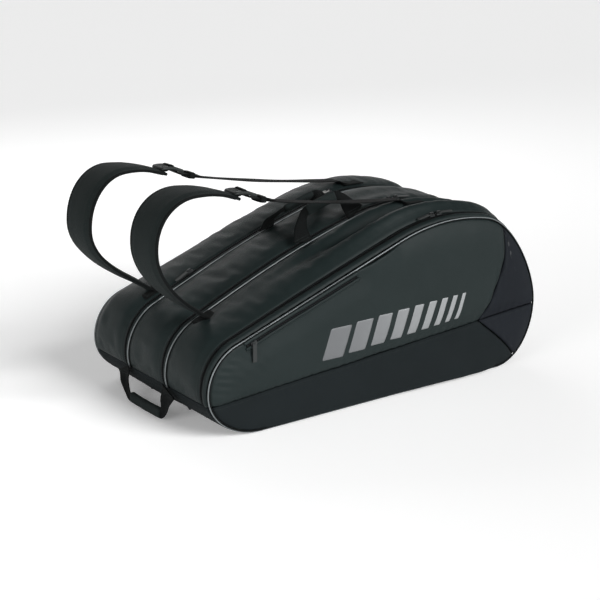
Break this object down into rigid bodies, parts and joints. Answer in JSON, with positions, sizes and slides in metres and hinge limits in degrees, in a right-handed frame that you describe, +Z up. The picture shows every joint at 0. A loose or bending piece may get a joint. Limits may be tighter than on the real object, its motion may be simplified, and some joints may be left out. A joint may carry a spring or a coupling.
{
  "type": "racket tournament bag",
  "caption": "Long soft bag with padded compartments side by side, zips over the top, backpack straps, carry handles and a haul handle on its narrow end.",
  "frame": {"origin": "middle of the flat base, on the floor", "axes": "+X towards the deep end, +Y towards the rear panel, +Z up"},
  "size_m": [0.8419, 0.4116, 0.4349],
  "materials": {
    "body_fabric": "matt coated weave",
    "tray_fabric": "coarse matt weave",
    "lining": "soft matt",
    "stiffener": "matt",
    "reflective_piping": "satin reflective",
    "zip_chain": "satin",
    "zip_slider": "satin black",
    "zip_pull": "satin",
    "webbing": "ribbed weave",
    "padding": "ribbed weave over foam",
    "buckle": "satin"
  },
  "bodies": {
    "tray": {"base_panel": "tray_fabric", "front_lower_panel": "tray_fabric", "rear_lower_panel": "tray_fabric", "front_lower_piping": "reflective_piping", "rear_lower_piping": "reflective_piping", "base_board": "stiffener", "middle_gusset": "body_fabric", "far_divider": "lining", "far_piping": "reflective_piping", "far_zip_strip": "body_fabric", "middle_zip_chain": "zip_chain"},
    "near_compartment": {"near_gusset": "body_fabric", "near_divider": "lining", "divider_pocket": "lining", "middle_piping": "reflective_piping", "middle_zip_strip": "body_fabric", "near_zip_chain": "zip_chain", "near_strap_foot": "webbing", "near_strap_anchor": "webbing"},
    "front_flap": {"front_panel": "body_fabric", "front_zip_strip": "body_fabric", "front_piping": "reflective_piping", "slot_zip_chain": "zip_chain", "slot_pocket": "lining"},
    "far_compartment": {"far_gusset": "body_fabric", "rear_panel": "body_fabric", "rear_piping": "reflective_piping", "far_zip_chain": "zip_chain", "far_strap_foot": "webbing", "far_strap_anchor": "webbing"},
    "near_handle": {"near_handle_webbing": "webbing", "near_handle_grip": "padding"},
    "far_handle": {"far_handle_webbing": "webbing", "far_handle_grip": "padding"},
    "haul_handle": {"haul_handle_webbing": "webbing", "haul_handle_grip": "padding"},
    "near_strap": {"near_strap_pad": "padding", "near_strap_webbing": "webbing", "near_strap_buckle": "buckle"},
    "far_strap": {"far_strap_pad": "padding", "far_strap_webbing": "webbing", "far_strap_buckle": "buckle"},
    "near_keeper": {"near_strap_keeper": "buckle"},
    "far_keeper": {"far_strap_keeper": "buckle"},
    "near_zip_left": {"near_zip_left_slider": "zip_slider"},
    "near_zip_left_tab": {"near_zip_left_pull": "zip_pull"},
    "near_zip_right": {"near_zip_right_slider": "zip_slider"},
    "near_zip_right_tab": {"near_zip_right_pull": "zip_pull"},
    "middle_zip_left": {"middle_zip_left_slider": "zip_slider"},
    "middle_zip_left_tab": {"middle_zip_left_pull": "zip_pull"},
    "middle_zip_right": {"middle_zip_right_slider": "zip_slider"},
    "middle_zip_right_tab": {"middle_zip_right_pull": "zip_pull"},
    "far_zip_left": {"far_zip_left_slider": "zip_slider"},
    "far_zip_left_tab": {"far_zip_left_pull": "zip_pull"},
    "far_zip_right": {"far_zip_right_slider": "zip_slider"},
    "far_zip_right_tab": {"far_zip_right_pull": "zip_pull"},
    "slot_zip": {"slot_zip_slider": "zip_slider"},
    "slot_zip_tab": {"slot_zip_pull": "zip_pull"}
  },
  "joints": [
    {"name": "near_compartment_lean", "type": "hinge", "parent": "tray", "child": "near_compartment", "pos_m": [0, -0.2009, 0.09146], "axis": [0.9978, 0, 0.0669], "range_deg": [0, 13]},
    {"name": "far_compartment_lean", "type": "hinge", "parent": "tray", "child": "far_compartment", "pos_m": [0, 0.2009, 0.09146], "axis": [-0.9978, 0, -0.0669], "range_deg": [0, 13]},
    {"name": "front_flap_fold", "type": "hinge", "parent": "near_compartment", "child": "front_flap", "pos_m": [0, -0.2009, 0.09146], "axis": [0.9978, 0, 0.0669], "range_deg": [0, 85]},
    {"name": "near_zip_left_run", "type": "hinge", "parent": "near_compartment", "child": "near_zip_left", "pos_m": [0.15885, -0.177, -0.05871], "axis": [0, 1, 0], "range_deg": [-13.5, 0]},
    {"name": "near_zip_left_flip", "type": "hinge", "parent": "near_zip_left", "child": "near_zip_left_tab", "pos_m": [0.12747, -0.177, 0.32788], "axis": [0, 1, 0], "range_deg": [0, 110]},
    {"name": "near_zip_right_run", "type": "hinge", "parent": "near_compartment", "child": "near_zip_right", "pos_m": [0.15963, -0.177, -0.07196], "axis": [0, 1, 0], "range_deg": [0, 11.8]},
    {"name": "near_zip_right_flip", "type": "hinge", "parent": "near_zip_right", "child": "near_zip_right_tab", "pos_m": [0.14374, -0.177, 0.32887], "axis": [0, -1, 0], "range_deg": [0, 110]},
    {"name": "middle_zip_left_run", "type": "hinge", "parent": "tray", "child": "middle_zip_left", "pos_m": [0.13358, -0.052, -0.04973], "axis": [0, 1, 0], "range_deg": [-12.3, 0]},
    {"name": "middle_zip_left_flip", "type": "hinge", "parent": "middle_zip_left", "child": "middle_zip_left_tab", "pos_m": [0.12791, -0.052, 0.33367], "axis": [0, 1, 0], "range_deg": [0, 110]},
    {"name": "middle_zip_right_run", "type": "hinge", "parent": "tray", "child": "middle_zip_right", "pos_m": [0.13282, -0.052, -0.12641], "axis": [0, 1, 0], "range_deg": [0, 11]},
    {"name": "middle_zip_right_flip", "type": "hinge", "parent": "middle_zip_right", "child": "middle_zip_right_tab", "pos_m": [0.14413, -0.052, 0.33363], "axis": [0, -1, 0], "range_deg": [0, 110]},
    {"name": "far_zip_left_run", "type": "slide", "parent": "far_compartment", "child": "far_zip_left", "axis": [0.9267, 0, 0.3758], "range_m": [0, 0.09]},
    {"name": "far_zip_left_flip", "type": "hinge", "parent": "far_zip_left", "child": "far_zip_left_tab", "pos_m": [-0.23846, 0.078, 0.22271], "axis": [0, 1, 0], "range_deg": [0, 110]},
    {"name": "far_zip_right_run", "type": "hinge", "parent": "far_compartment", "child": "far_zip_right", "pos_m": [0.13827, 0.078, -0.07333], "axis": [0, 1, 0], "range_deg": [0, 11.6]},
    {"name": "far_zip_right_flip", "type": "hinge", "parent": "far_zip_right", "child": "far_zip_right_tab", "pos_m": [0.08315, 0.078, 0.32926], "axis": [0, 1, 0], "range_deg": [0, 110]},
    {"name": "slot_zip_run", "type": "slide", "parent": "front_flap", "child": "slot_zip", "axis": [0.9436, 0, 0.3312], "range_m": [0, 0.2]},
    {"name": "slot_zip_swing", "type": "hinge", "parent": "slot_zip", "child": "slot_zip_tab", "pos_m": [-0.28637, -0.2045, 0.16846], "axis": [0, 1, 0], "range_deg": [-60, 60]},
    {"name": "near_handle_fold", "type": "hinge", "parent": "near_compartment", "child": "near_handle", "pos_m": [-0.018, -0.06, 0.29964], "axis": [-0.9571, 0, -0.2896], "range_deg": [-8, 45]},
    {"name": "far_handle_fold", "type": "hinge", "parent": "tray", "child": "far_handle", "pos_m": [-0.018, 0.06, 0.29964], "axis": [0.9571, 0, 0.2896], "range_deg": [-40, 15]},
    {"name": "haul_handle_swing", "type": "hinge", "parent": "tray", "child": "haul_handle", "pos_m": [-0.384, 0, 0.063], "axis": [0, 1, 0], "range_deg": [-15, 125]},
    {"name": "near_strap_sway", "type": "hinge", "parent": "near_compartment", "child": "near_strap", "pos_m": [-0.312, -0.09, 0.18999], "axis": [0.9557, 0, 0.2942], "range_deg": [-7, 24]},
    {"name": "near_keeper_slide", "type": "slide", "parent": "near_strap", "child": "near_keeper", "axis": [0.9789, 0, -0.2044], "range_m": [-0.004, 0.026]},
    {"name": "far_strap_sway", "type": "hinge", "parent": "far_compartment", "child": "far_strap", "pos_m": [-0.309, 0.098, 0.19206], "axis": [-0.9559, 0, -0.2936], "range_deg": [-7, 24]},
    {"name": "far_keeper_slide", "type": "slide", "parent": "far_strap", "child": "far_keeper", "axis": [0.9761, 0, -0.2175], "range_m": [-0.004, 0.026]}
  ]
}
